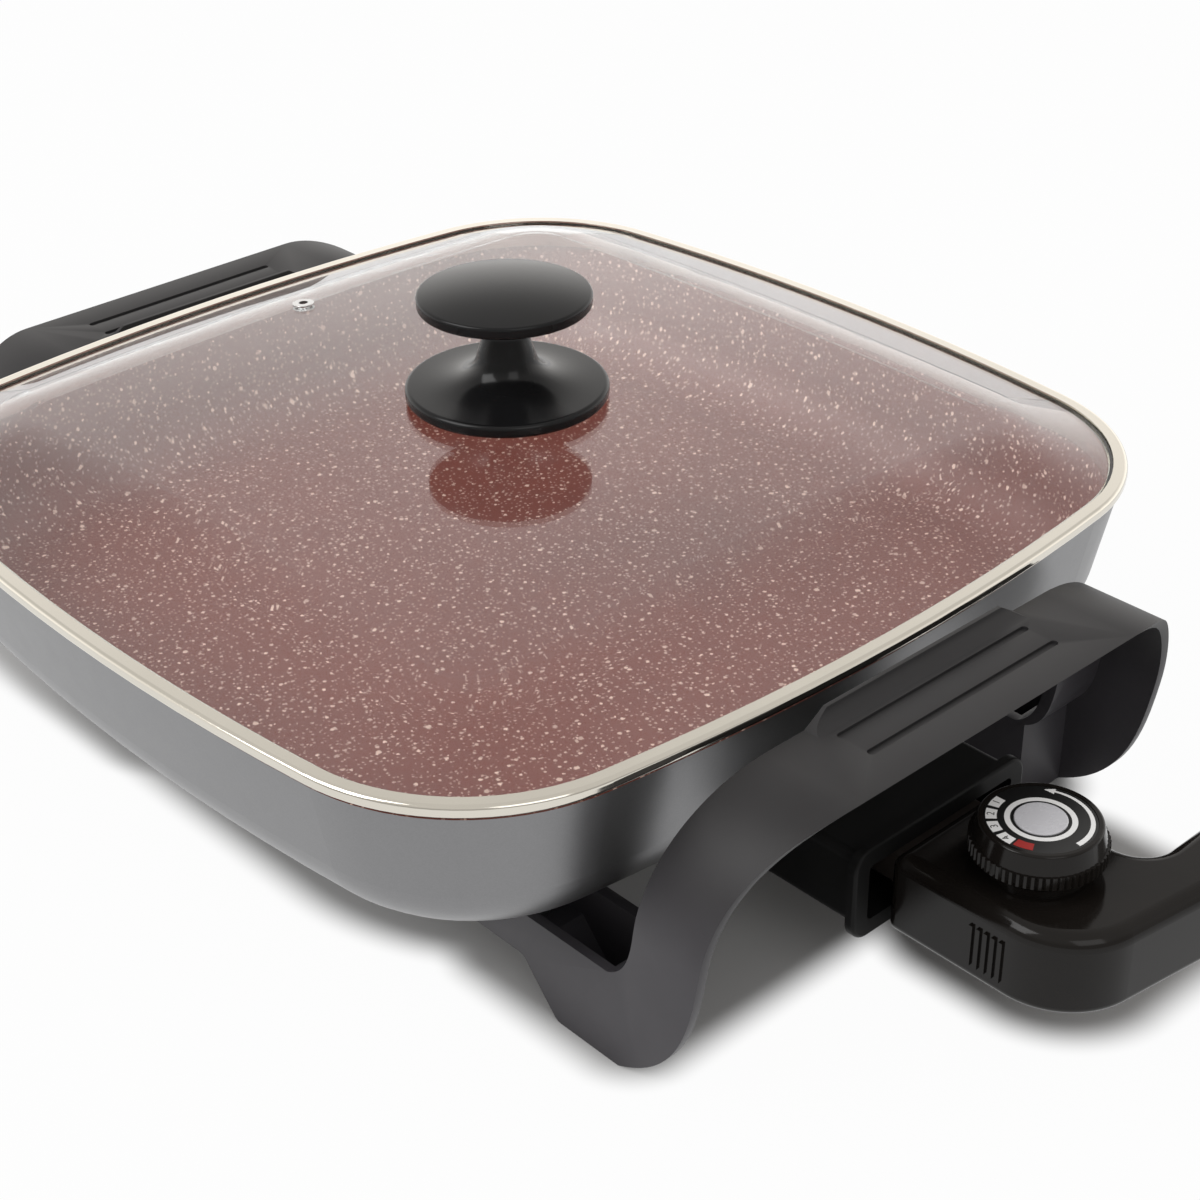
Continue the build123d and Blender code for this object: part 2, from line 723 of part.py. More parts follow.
with BuildPart() as lid_glass:
    with BuildSketch(Plane.XY.offset(glass_seat_z)):
        bowed_square(rim_sheet + seat_gap - rim_overhang)
    extrude(amount=glass_t)
    add(dome.part)
    add(glass_inside, mode=Mode.SUBTRACT)
    with Locations((0, 0, dome_top_z)):
        Cylinder(knob_screw_r + seat_gap, 3 * glass_t, mode=Mode.SUBTRACT)
    with Locations(vent_plane):
        Cylinder(vent_tube_r + seat_gap, 3 * glass_t, mode=Mode.SUBTRACT)

with BuildPart() as vent_eyelet:
    with BuildSketch(vent_plane.offset(seat_gap)):
        Circle(vent_flange_r)
    extrude(amount=vent_flange_t)
    with BuildSketch(vent_plane.offset(-glass_t - seat_gap)):
        Circle(vent_flange_r)
    extrude(amount=-vent_flange_t)
    with BuildSketch(vent_plane.offset(seat_gap)):
        Circle(vent_tube_r)
    extrude(amount=-(glass_t + 2 * seat_gap))
    fillet(vent_eyelet.edges().filter_by(GeomType.CIRCLE).group_by(SortBy.RADIUS)[-1], vent_flange_t / 3)
    with Locations(vent_plane):
        Cylinder(vent_hole_r, 4 * glass_t, mode=Mode.SUBTRACT)

# Knob: a seal on the glass, a flared skirt, and a grip with a neck and a crowned top
with BuildPart() as knob_seal:
    with BuildSketch(Plane.XY.offset(dome_top_z)):
        Circle(knob_seal_r)
        Circle(knob_screw_r + seat_gap, mode=Mode.SUBTRACT)
    extrude(amount=knob_seal_t)

with BuildPart() as knob_skirt:
    recess_z = dome_top_z + knob_seal_t
    bore_r = knob_screw_r + seat_gap
    with BuildSketch(Plane.XZ):
        with BuildLine():
            lip_top = (knob_foot_r, knob_foot_z + knob_foot_lip)
            waist = (knob_waist_r, knob_waist_z)
            Polyline(
                waist,
                (bore_r, knob_waist_z),
                (bore_r, recess_z),
                (knob_foot_r - knob_foot_rim, recess_z),
                (knob_foot_r - knob_foot_rim, knob_foot_z),
                (knob_foot_r, knob_foot_z),
                lip_top,
            )
            Spline(lip_top, waist, tangents=((-1, 0.05), (-0.25, 1)))
        make_face()
    revolve(axis=Axis.Z)
    fillet(knob_skirt.edges().filter_by(Plane.XY).group_by(SortBy.RADIUS)[-1], knob_foot_lip / 3)

with BuildPart() as knob_grip:
    lip_low_z = knob_top_z - knob_top_crown - knob_top_lip
    with BuildSketch(Plane.XZ):
        with BuildLine():
            waist = (knob_waist_r, knob_waist_z)
            under_top = (knob_top_r, lip_low_z)
            Spline(
                waist,
                (knob_neck_r, (knob_waist_z + lip_low_z) / 2),
                under_top,
                tangents=((-0.25, 1), (1, 0.05)),
            )
            Line(under_top, (knob_top_r, lip_low_z + knob_top_lip))
            ThreePointArc(
                (knob_top_r, lip_low_z + knob_top_lip),
                (knob_top_r / 2, knob_top_z - knob_top_crown / 4),
                (0, knob_top_z),
            )
            Polyline((0, knob_top_z), (0, knob_waist_z), waist)
        make_face()
    revolve(axis=Axis.Z)
    fillet(knob_grip.edges().filter_by(Plane.XY).group_by(SortBy.RADIUS)[-1], knob_top_lip / 4)
    with Locations((0, 0, knob_waist_z)):
        Cylinder(
            knob_screw_r + shaft_gap,
            knob_screw_bite,
            align=(Align.CENTER, Align.CENTER, Align.MIN),
            mode=Mode.SUBTRACT,
        )

knob_washer_z = dome_top_z - glass_t - seat_gap - knob_washer_t
with BuildPart() as knob_washer:
    with BuildSketch(Plane.XY.offset(knob_washer_z)):
        Circle(knob_washer_r)
        Circle(knob_screw_r + seat_gap, mode=Mode.SUBTRACT)
    extrude(amount=knob_washer_t)

with BuildPart() as knob_screw:
    with Locations((0, 0, knob_washer_z)):
        screw(
            knob_screw_head_r,
            knob_screw_head_h,
            knob_screw_r,
            knob_waist_z - knob_washer_z + knob_screw_bite - lift_gap,
        )

# Control case: two shells joined at a seam, the upper one with the dial's pedestal
rib_spots = [control_front_x + rib_start + i * rib_pitch for i in range(rib_count)]

with BuildPart() as control_top_shell:
    with BuildSketch(Plane.XY.offset(seam_z)):
        control_plan()
    extrude(amount=control_top_z - seam_z)
    fillet(control_top_shell.edges().group_by(Axis.Z)[-1], control_top_round)
    for rib_x in rib_spots:
        with Locations((rib_x, control_near_y - rib_proud, seam_z)):
            Box(
                rib_width,
                control_wall,
                control_bottom_z + rib_z_high - seam_z,
                align=(Align.CENTER, Align.MIN, Align.MIN),
            )
    with BuildSketch(Plane.XY.offset(control_top_z)):
        with Locations((dial_x, 0)):
            Circle(pedestal_r)
    extrude(amount=pedestal_h)
    with BuildSketch(Plane.XY.offset(control_top_z + pedestal_h / 3)):
        with Locations((dial_x, 0)):
            Circle(pedestal_r + pedestal_ring)
    extrude(amount=pedestal_h / 3)
    with BuildSketch(Plane.XY.offset(seam_z)):
        control_plan()
        offset(amount=-control_wall)
    extrude(amount=control_roof_z - seam_z, mode=Mode.SUBTRACT)
    with BuildSketch(Plane.XY.offset(seam_z)):
        with Locations(*post_spots):
            Circle(post_r)
    extrude(amount=control_roof_z - seam_z)
    with Locations((inlet_x, arm_end_y - control_wall, seam_z)):
        Box(
            2 * (inlet_r + control_wall),
            inlet_depth - control_wall,
            control_roof_z - seam_z,
            align=(Align.CENTER, Align.MAX, Align.MIN),
        )
    with BuildSketch(Plane.XZ.offset(-arm_end_y)):
        with Locations((inlet_x, inlet_z)):
            Circle(inlet_r)
    extrude(amount=inlet_depth, mode=Mode.SUBTRACT)
    with BuildSketch(Plane.YZ.offset(control_front_x)):
        with Locations((0, heater_z)):
            Rectangle(2 * (nose_half_width + seat_gap), 2 * (nose_half_height + seat_gap))
    extrude(amount=control_wall, mode=Mode.SUBTRACT)
    with Locations((dial_x, 0, control_top_z)):
        Cylinder(shaft_r + shaft_gap, 4 * control_wall, mode=Mode.SUBTRACT)
    with BuildSketch(Plane.XY.offset(seam_z)):
        with Locations(*post_spots):
            Circle(shell_screw_r + shaft_gap)
    extrude(amount=shell_screw_bite, mode=Mode.SUBTRACT)

with BuildPart() as control_bottom_shell:
    with BuildSketch(Plane.XY.offset(control_bottom_z)):
        control_plan()
    extrude(amount=control_seam)
    fillet(control_bottom_shell.edges().group_by(Axis.Z)[0], control_bottom_round)
    for rib_x in rib_spots:
        with Locations((rib_x, control_near_y - rib_proud, seam_z)):
            Box(
                rib_width,
                control_wall,
                control_seam - rib_z_low,
                align=(Align.CENTER, Align.MIN, Align.MAX),
            )
    with BuildSketch(Plane.XY.offset(control_floor_z)):
        control_plan()
        offset(amount=-control_wall)
    extrude(amount=control_seam, mode=Mode.SUBTRACT)
    with BuildSketch(Plane.XY.offset(control_floor_z)):
        with Locations(*post_spots):
            Circle(post_r)
    extrude(amount=seam_z - control_floor_z)
    with BuildSketch(Plane.XY.offset(control_floor_z)):
        with Locations((frame_x + bead_x, 0), (frame_x + frame_base_length - frame_post_r, 0)):
            Circle(frame_post_r)
    extrude(amount=frame_post_h)
    with BuildSketch(Plane.XY.offset(control_bottom_z)):
        with Locations(*post_spots):
            Circle(shell_screw_r + seat_gap)
    extrude(amount=control_seam, mode=Mode.SUBTRACT)
    with BuildSketch(Plane.XY.offset(control_bottom_z)):
        with Locations(*post_spots):
            Circle(shell_screw_head_r + seat_gap)
    extrude(amount=shell_screw_sink, mode=Mode.SUBTRACT)

with BuildPart() as shell_screws:
    head_seat_z = control_bottom_z + shell_screw_sink
    with Locations(*[(x, y, head_seat_z) for x, y in post_spots]):
        screw(
            shell_screw_head_r,
            shell_screw_head_h,
            shell_screw_r,
            seam_z - head_seat_z + shell_screw_bite - lift_gap,
        )

# Plug block with its two contact sleeves and the sensor rod
with BuildPart() as plug_block:
    with BuildSketch(Plane.YZ.offset(nose_front_x)):
        with Locations((0, heater_z)):
            RectangleRounded(2 * nose_half_width, 2 * nose_half_height, nose_collar)
    extrude(amount=nose_back_x - nose_front_x)
    with BuildSketch(Plane.YZ.offset(control_front_x + control_wall)):
        with Locations((0, heater_z + nose_collar / 2)):
            Rectangle(2 * (nose_half_width + nose_collar), 2 * nose_half_height + nose_collar)
    extrude(amount=nose_collar_t)
    with BuildSketch(Plane.YZ.offset(nose_front_x)):
        with Locations((-lead_y, heater_z), (lead_y, heater_z)):
            Circle(socket_r + seat_gap)
        with Locations((0, heater_z)):
            Circle(rod_r + seat_gap)
    extrude(amount=nose_back_x - nose_front_x, mode=Mode.SUBTRACT)

with BuildPart() as terminal_sockets:
    with BuildSketch(Plane.YZ.offset(socket_x)):
        with Locations((-lead_y, heater_z), (lead_y, heater_z)):
            Circle(socket_r)
    extrude(amount=nose_back_x + tag_length - socket_x)
    with BuildSketch(Plane.YZ.offset(socket_x)):
        with Locations((-lead_y, heater_z), (lead_y, heater_z)):
            Circle(pin_r + lift_gap / 2)
    extrude(amount=socket_bore, mode=Mode.SUBTRACT)

with BuildPart() as sensor_rod:
    rod_tip_x = well_mouth_x - well_depth + rod_tip_gap
    with BuildSketch(Plane.YZ.offset(rod_tip_x)):
        with Locations((0, heater_z)):
            Circle(rod_r)
    extrude(amount=nose_back_x + tag_length - rod_tip_x)
    fillet(sensor_rod.edges().group_by(Axis.X)[0], rod_r / 2)

# Thermostat: a bent frame, ceramic beads with two blades between them, and the pilot lamp
with BuildPart() as thermostat_frame:
    with BuildSketch(Plane.XZ):
        with BuildLine():
            Polyline(
                (frame_x, frame_z),
                (frame_x + frame_base_length, frame_z),
                (frame_x + frame_base_length, frame_z + frame_t),
                (frame_x + frame_t, frame_z + frame_t),
                (frame_x + frame_t, frame_top_z - frame_t),
                (frame_roof_x, frame_top_z - frame_t),
                (frame_roof_x, frame_top_z),
                (frame_x, frame_top_z),
                close=True,
            )
        make_face()
    extrude(amount=frame_half_width, both=True)
    with Locations((dial_x, 0, frame_top_z)):
        Cylinder(shaft_r + shaft_gap, 4 * frame_t, mode=Mode.SUBTRACT)

bead_levels = [frame_z + frame_t, lower_blade_z + blade_t, upper_blade_z + blade_t]
with BuildPart() as insulator_stack:
    with Locations(*[(frame_x + bead_x, 0, level) for level in bead_levels]):
        Cylinder(bead_r, bead_h, align=(Align.CENTER, Align.CENTER, Align.MIN))

with BuildPart() as contact_blades:
    with Locations(*[(frame_x + frame_t + seat_gap, 0, z) for z in (lower_blade_z, upper_blade_z)]):
        Box(
            blade_length,
            2 * blade_half_width,
            blade_t,
            align=(Align.MIN, Align.CENTER, Align.MIN),
        )

with BuildPart() as pilot_lamp:
    with BuildSketch(Plane.XZ.offset(-lamp_half_length)):
        with Locations((lamp_x, frame_top_z + lamp_r + seat_gap)):
            Circle(lamp_r)
    extrude(amount=2 * lamp_half_length)
    fillet(pilot_lamp.edges().filter_by(GeomType.CIRCLE), lamp_r / 2)

with BuildPart() as terminal_block:
    with Locations((block_x, block_y, control_floor_z)):
        Box(
            block_width,
            block_length,
            block_height,
            align=(Align.CENTER, Align.CENTER, Align.MIN),
        )
    for side in (-1, 1):
        with Locations((block_x, block_y + side * block_length / 4, control_floor_z + block_height)):
            Cylinder(block_width / 4, block_height, mode=Mode.SUBTRACT)

# Dial: a knurled body with a printed disc and a pale cap, on the shaft that sets the thermostat
with BuildPart() as dial_body:
    with BuildSketch(Plane.XZ):
        with BuildLine():
            Polyline(
                (0, dial_z),
                (dial_foot_r, dial_z),
                (knurl_r, dial_z + knurl_low),
                (knurl_r, dial_z + knurl_high),
                (dial_side_r, dial_z + knurl_high),
                (dial_face_r, dial_top_z),
                (face_r + seat_gap, dial_top_z),
                (face_r + seat_gap, dial_top_z - face_sink),
                (0, dial_top_z - face_sink),
                close=True,
            )
        make_face()
    revolve(axis=Axis.Z)
    fillet(dial_body.edges().group_by(Axis.Z)[-1].sort_by(SortBy.RADIUS)[-1], dial_edge_r)
    with PolarLocations(knurl_r, knurl_count):
        with Locations((0, 0, dial_z + knurl_low)):
            Box(
                knurl_cut,
                knurl_cut,
                knurl_high - knurl_low,
                rotation=(0, 0, 45),
                align=(Align.CENTER, Align.CENTER, Align.MIN),
                mode=Mode.SUBTRACT,
            )
    with Locations((0, 0, dial_z)):
        Cylinder(
            shaft_r + shaft_gap,
            shaft_bury,
            align=(Align.CENTER, Align.CENTER, Align.MIN),
            mode=Mode.SUBTRACT,
        )

dial_body.part = Pos(dial_x, 0, 0) * dial_body.part

with BuildPart() as dial_face:
    with BuildSketch(Plane.XY.offset(dial_top_z - face_sink)):
        with Locations((dial_x, 0)):
            Circle(face_r)
            Circle(cap_r + seat_gap, mode=Mode.SUBTRACT)
    extrude(amount=face_t)

with BuildPart() as dial_cap:
    with BuildSketch(Plane.XY.offset(dial_top_z - face_sink)):
        with Locations((dial_x, 0)):
            Circle(cap_r)
    extrude(amount=cap_t)
    fillet(dial_cap.edges().group_by(Axis.Z)[-1], cap_t / 3)

with BuildPart() as dial_shaft:
    shaft_low_z = upper_blade_z + blade_t + shaft_blade_gap
    with Locations((dial_x, 0, shaft_low_z)):
        Cylinder(
            shaft_r,
            dial_z + shaft_bury - seat_gap - shaft_low_z,
            align=(Align.CENTER, Align.CENTER, Align.MIN),
        )
    with Locations((dial_x, 0, control_roof_z - lift_gap)):
        Cylinder(
            shaft_collar_r,
            shaft_collar_t,
            align=(Align.CENTER, Align.CENTER, Align.MAX),
        )

pieces = {
    "pan_body": pan_body,
    "heating_element": heating_element,
    "terminal_pins": terminal_pins,
    "socket_guard": socket_guard,
    "guard_screws": guard_screws,
    "handle_right": handle_right,
    "handle_left": handle_left,
    "handle_screws": handle_screws,
    "handle_washers": handle_washers,
    "lid_glass": lid_glass,
    "lid_rim": lid_rim,
    "vent_eyelet": vent_eyelet,
    "knob_seal": knob_seal,
    "knob_skirt": knob_skirt,
    "knob_grip": knob_grip,
    "knob_washer": knob_washer,
    "knob_screw": knob_screw,
    "control_top_shell": control_top_shell,
    "control_bottom_shell": control_bottom_shell,
    "shell_screws": shell_screws,
    "plug_block": plug_block,
    "terminal_sockets": terminal_sockets,
    "sensor_rod": sensor_rod,
    "thermostat_frame": thermostat_frame,
    "insulator_stack": insulator_stack,
    "contact_blades": contact_blades,
    "pilot_lamp": pilot_lamp,
    "terminal_block": terminal_block,
    "dial_body": dial_body,
    "dial_face": dial_face,
    "dial_cap": dial_cap,
    "dial_shaft": dial_shaft,
}
os.makedirs("parts", exist_ok=True)
for name, piece in pieces.items():
    piece.part.label = name
    export_step(piece.part, f"parts/{name}.step")
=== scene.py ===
import json
import math

import bmesh
import bpy
from mathutils import Matrix, Vector


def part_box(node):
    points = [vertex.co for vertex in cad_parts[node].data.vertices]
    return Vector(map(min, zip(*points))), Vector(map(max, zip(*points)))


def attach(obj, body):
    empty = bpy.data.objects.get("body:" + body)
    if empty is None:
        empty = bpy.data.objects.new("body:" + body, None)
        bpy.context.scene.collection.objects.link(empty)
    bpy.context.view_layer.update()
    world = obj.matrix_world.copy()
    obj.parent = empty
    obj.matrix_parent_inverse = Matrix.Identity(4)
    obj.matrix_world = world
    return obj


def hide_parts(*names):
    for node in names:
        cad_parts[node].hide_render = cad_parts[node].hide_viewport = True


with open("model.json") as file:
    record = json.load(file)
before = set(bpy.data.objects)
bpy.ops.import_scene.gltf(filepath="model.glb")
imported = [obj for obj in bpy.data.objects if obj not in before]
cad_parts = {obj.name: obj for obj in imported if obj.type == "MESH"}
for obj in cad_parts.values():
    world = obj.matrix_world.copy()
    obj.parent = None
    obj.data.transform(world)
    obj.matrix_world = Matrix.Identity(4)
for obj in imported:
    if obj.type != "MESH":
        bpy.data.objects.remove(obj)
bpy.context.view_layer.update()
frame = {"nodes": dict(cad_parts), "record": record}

# Looks of an electric skillet, in metres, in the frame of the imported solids: the table is at z = 0,
# +X points from the pan to the plug-in control and +Y runs along the grips.

nodes = frame["nodes"]
slots = {part["node"]: part["material_slot"] for part in frame["record"]["subparts"]}
MM = 0.001

# Camera of the photograph
CAMERA_PLACE = (0.4765, -0.3999, 0.4123)
CAMERA_AZIMUTH = math.radians(47.48)
CAMERA_ELEVATION = math.radians(31.09)
CAMERA_ROLL = math.radians(-0.665)
CAMERA_LENS = 68.03  # on a sensor 36 wide
SENSOR_WIDTH = 36.0
CAMERA_CLIP = 0.01  # nearest distance seen

# Stage
FLOOR_HALF = 6.0
FLOOR_DROP = 0.2 * MM  # floor under the soles
FLOOR_GREY = 0.46
FLOOR_ROUGH = 0.9
FLOOR_WHITE = 0.97  # share of plain white in the open floor
# Painted shade: only inside these pools does the floor show its own grey and its real shadow
PAINTED_SHADE_POOLS = (  # painted shade pools, with the open floor painted white around them: node that the shade moves with, and the shade's middle, half sizes and corner radius
    ("pan_body", (-0.0385, 0.0), (0.1665, 0.111), 0.095),  # under the pan
    ("pan_body", (-0.120, 0.0), (0.075, 0.113), 0.020),  # under the left handle
    ("pan_body", (0.119, 0.0), (0.039, 0.099), 0.015),  # under the right handle
    ("control_bottom_shell", (0.190, 0.038), (0.043, 0.046), 0.030),  # under the control
)
PAINTED_SHADE_FADE = (-0.006, 0.009)  # the painted shade fades out over this way across a pool's edge
SKY_TINT = (1.0, 0.975, 0.945)
SKY_BACK = 1.5  # horizon behind the object, seen in the lid
SKY_FRONT = 0.5  # horizon behind the camera
SKY_TURN = (-0.5, 0.4)  # backward part of a ray's direction, from the front's light to the back's
SKY_TOP = 0.75
SKY_RISE = (0.26, 0.64)  # upward part of a ray's direction, from the horizon's light to the top's
LAMPS = (  # name, place, spot that it is turned to, side of its square and power
    ("key", (-0.4, -1.1, 1.2), (0, 0, 0.05), 1.0, 13.0),
    ("fill", (1.3, -0.4, 1.0), (0.1, 0, 0.05), 0.8, 2.5),
)

# Pan
COAT_LOW = 45.5 * MM  # all of the pan's inside lies above this height
LEVEL_FACE = 0.8  # upward part of a normal, above which a face is level and coated
STEEP_FACE = 0.6  # and below which the specks are laid out as on a wall
COAT_COLOURS = ((0.165, 0.026, 0.016), (0.212, 0.039, 0.024))
COAT_CLOUD = 26 * MM  # size of the clouds in its tone
SPECK_COLOUR = (0.92, 0.66, 0.57)
SPECKS = (  # distance between spots, size of a speck, share of the spots that have one, and its strength
    (9.0 * MM, 1.6 * MM, 0.32, 1.0),
    (3.6 * MM, 1.15 * MM, 0.60, 1.0),
    (1.8 * MM, 0.80 * MM, 0.65, 0.5),
)
SPECK_RADIUS = (0.25, 0.55)  # least and greatest radius of a speck, to its size
SPECK_SOFT = 0.16  # half width of its soft edge, to its size
SPECK_FAINTEST = 0.5
SPECK_WOBBLE = 1.2 * MM  # how far the specks' outlines are bent
WOBBLE_GRAIN = 0.9 * MM
PAN_GREYS = ((0.230, 0.230, 0.235), (0.244, 0.244, 0.249))
PAN_FLAKE = 0.35 * MM
PAN_METAL = 0.9
PAN_ROUGH = (0.33, 0.39)
PAN_MOTTLE = 6 * MM
COAT_ROUGHER = 0.10  # more than the outside
PEEL_GRAIN = 1.6 * MM
PEEL_DEPTH = 0.012 * MM
PEEL_OUTSIDE = 0.08  # share of that depth on the outside
SPECK_HEIGHT = 0.4  # of a speck, to the peel's depth

# Handles
# Painted shade: one moulding, given a lighter colour on the legs and a darker one on the grips' tops
LEG_LIT_COLOURS = ((0.046, 0.043, 0.049), (0.056, 0.053, 0.060))
GRIP_PAINTED_SHADE_COLOURS = ((0.018, 0.017, 0.018), (0.024, 0.023, 0.024))
GRIP_HEIGHTS = (40 * MM, 84 * MM)  # legs turn into grips, and the grips' painted shade comes in, between these heights
HANDLE_ROUGH = (0.38, 0.50)
HANDLE_GLOSS = 0.3
HANDLE_GRAIN = 0.45 * MM
HANDLE_DEPTH = 0.012 * MM  # of the grain
HANDLE_MOTTLE = 0.5  # how much the roughness varies on one height, to the way from leg to grip
HANDLE_ROUND = 0.9 * MM  # rounding of the edges
ROUND_STEPS = 3
SHARP_EDGE = math.radians(28)  # edges that are rounded
FLAT_EDGE = math.radians(0.4)  # edges between faces that are taken as one
CREASE = math.radians(35)  # edges that stay sharp in the shading
HANDLE_WELD = 0.002 * MM  # points nearer than this are one

# Metal, plastic and glass
POLISH_FINER = 8  # grains of a metal's polish across one of its tone
POLISH_DETAIL = 4.0
SKIN_DETAIL = 2.0  # octaves of the fine grain of plastic and coating
PLASTIC_IOR = 1.5
TONE_GRAIN = 12 * MM
MOTTLE_GRAIN = 4 * MM
TRANSLUCENT_REACH = (0.8 * MM, 0.8 * MM, 0.8 * MM)  # how far red, green and blue go in
GLASS_COLOUR = (0.97, 0.985, 0.98)
GLASS_SHADOW = (0.93, 0.95, 0.94)
GLASS_ROUGH = (0.0, 0.03)
GLASS_HAZE = 40 * MM
GLASS_IOR = 1.5
LAMP_COLOURS = ((0.9, 0.42, 0.2), (0.95, 0.55, 0.3))
LAMP_GRAIN = 1.5 * MM

# Marks on the dial: radii in pairs, inner and outer, and angles in degrees
dial_low, dial_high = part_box("dial_face")
dial_centre = (dial_low + dial_high) / 2
PRINT_Z = dial_high.z
PRINT_LIFT = 0.05 * MM
PRINT_WELD = 0.001 * MM  # points nearer than this are one
SECTOR_STEP = 4  # degrees between the points of an arc
CENTRE_RING = (7.9 * MM, 9.4 * MM)
ARC_FROM, ARC_TO = -8, 112
ARC_RADII = (12.45 * MM, 13.95 * MM)
ARC_END_RADII = (12.85 * MM, 13.55 * MM)
ARROW_TO = 124
ARROW_RADII = (12.0 * MM, 14.3 * MM)
ARROW_END_RADII = (13.15 * MM, 13.25 * MM)
BOX_COUNT = 4
BOX_MIDDLE = 12.75 * MM  # numbered boxes, from the dial's axis
BOX_DEPTH = 2.9 * MM
BOX_START = 191.0
BOX_STEP = 24.5
BOX_HALF_ANGLE = 9.5
NUMBER_SIZE = 2.9 * MM
RED_FROM, RED_TO = 277, 299
RED_RADII = (11.0 * MM, 13.8 * MM)


# Node trees

def add(tree, kind, inputs=None, **settings):
    """Add a shader node to a tree, set its fields, and set or link its inputs."""
    node = tree.nodes.new("ShaderNode" + kind)
    for name, value in settings.items():
        setattr(node, name, value)
    for name, value in (inputs or {}).items():
        if isinstance(value, bpy.types.NodeSocket):
            tree.links.new(value, node.inputs[name])
        else:
            node.inputs[name].default_value = value
    return node


def math_node(tree, operation, *values):
    """Return the output of a math node on values or sockets."""
    return add(tree, "Math", dict(enumerate(values)), operation=operation).outputs[0]


def vector_node(tree, operation, *values):
    """Return the outputs of a vector math node on vectors or sockets."""
    return add(tree, "VectorMath", dict(enumerate(values)), operation=operation).outputs


def parts_of(tree, vector):
    """Return the x, y and z sockets of a vector."""
    return add(tree, "SeparateXYZ", {0: vector}).outputs


def spread(tree, value, low, high):
    """Return low to high by a value from 0 to 1."""
    return add(tree, "MapRange", {"Value": value, "To Min": low, "To Max": high}).outputs["Result"]


def ramp_between(tree, value, low, high, start=0.0, end=1.0):
    """Return a value mapped smoothly from start at low to end at high."""
    node = add(
        tree,
        "MapRange",
        {"Value": value, "From Min": low, "From Max": high, "To Min": start, "To Max": end},
        interpolation_type="SMOOTHSTEP",
    )
    return node.outputs["Result"]


def rgb(colour):
    """Return a colour with full alpha."""
    return (*colour, 1.0)


def mix_colours(tree, factor, *colours):
    """Return the mix of two colours, each a socket or red, green and blue, by a factor."""
    first, second = (c if isinstance(c, bpy.types.NodeSocket) else rgb(c) for c in colours)
    return add(tree, "Mix", {0: factor, 6: first, 7: second}, data_type="RGBA").outputs[2]


def noise(tree, place, grain, detail=3.0, roughness=0.55):
    """Return noise whose grains are about grain metres across."""
    node = add(
        tree,
        "TexNoise",
        {"Vector": place, "Scale": 1 / grain, "Detail": detail, "Roughness": roughness},
    )
    return node.outputs["Fac"]


def bump(tree, height, depth):
    """Return a normal from a height that runs from 0 to 1 over depth metres."""
    node = add(tree, "Bump", {"Height": height, "Strength": 1.0, "Distance": depth})
    return node.outputs["Normal"]


def start_material(name):
    """Return a new material, its empty tree and its place coordinates."""
    material = bpy.data.materials.new(name)
    material.use_nodes = True
    tree = material.node_tree
    tree.nodes.clear()
    return material, tree, add(tree, "TexCoord").outputs["Object"]


def principled(tree, inputs):
    """Return a principled shader with these inputs."""
    return add(tree, "BsdfPrincipled", inputs).outputs[0]


def mix_shaders(tree, factor, first, second):
    """Return the mix of two shaders by a factor."""
    return add(tree, "MixShader", {0: factor, 1: first, 2: second}).outputs[0]


def show(tree, shader):
    """Make a shader the material's surface."""
    add(tree, "OutputMaterial", {"Surface": shader})


# Materials

def laid_flat(tree, place, facing):
    """Return places laid out flat: x, y on level faces, and along and up the wall on steep ones."""
    at = parts_of(tree, place)
    look = parts_of(tree, vector_node(tree, "ABSOLUTE", facing)[0])
    steep = math_node(tree, "LESS_THAN", look[2], STEEP_FACE)
    end_wall = math_node(tree, "GREATER_THAN", look[0], look[1])
    swap = math_node(tree, "MULTIPLY", steep, end_wall)
    along = add(tree, "Mix", {0: swap, 2: at[0], 3: at[1]}).outputs[0]
    up = add(tree, "Mix", {0: steep, 2: at[1], 3: at[2]}).outputs[0]
    return add(tree, "CombineXYZ", {0: along, 1: up}).outputs[0]


def speck_layer(tree, place, cell, size, share):
    """Return the mask of soft specks of about size metres, at a share of spots that lie a cell apart."""
    unit = size / cell
    least, greatest = SPECK_RADIUS
    spots = add(
        tree,
        "TexVoronoi",
        {"Vector": place, "Scale": 1 / cell, "Randomness": 1.0},
        feature="F1",
        voronoi_dimensions="2D",
    )
    pick = add(tree, "SeparateColor", {"Color": spots.outputs["Color"]}).outputs
    chosen = math_node(tree, "LESS_THAN", pick[0], share)
    radius = math_node(tree, "MULTIPLY_ADD", pick[1], (greatest - least) * unit, least * unit)
    near = math_node(tree, "SUBTRACT", radius, spots.outputs["Distance"])
    soft = ramp_between(tree, near, -SPECK_SOFT * unit, SPECK_SOFT * unit)
    strength = math_node(tree, "MULTIPLY_ADD", pick[2], 1 - SPECK_FAINTEST, SPECK_FAINTEST)
    return math_node(tree, "MULTIPLY", math_node(tree, "MULTIPLY", soft, chosen), strength)


def coating(tree, place, facing):
    """Return colour and speck mask of the red-brown speckled non-stick coating."""
    flat = laid_flat(tree, place, facing)
    wobble = add(tree, "TexNoise", {"Vector": place, "Scale": 1 / WOBBLE_GRAIN, "Detail": SKIN_DETAIL})
    shift = vector_node(tree, "SUBTRACT", wobble.outputs["Color"], (0.5, 0.5, 0.5))[0]
    bent = vector_node(tree, "MULTIPLY_ADD", shift, (SPECK_WOBBLE, SPECK_WOBBLE, 0), flat)[0]
    specks = 0.0
    for cell, size, share, strength in SPECKS:
        layer = math_node(tree, "MULTIPLY", speck_layer(tree, bent, cell, size, share), strength)
        specks = math_node(tree, "MAXIMUM", specks, layer)
    base = mix_colours(tree, noise(tree, place, COAT_CLOUD), *COAT_COLOURS)
    return mix_colours(tree, specks, base, SPECK_COLOUR), specks


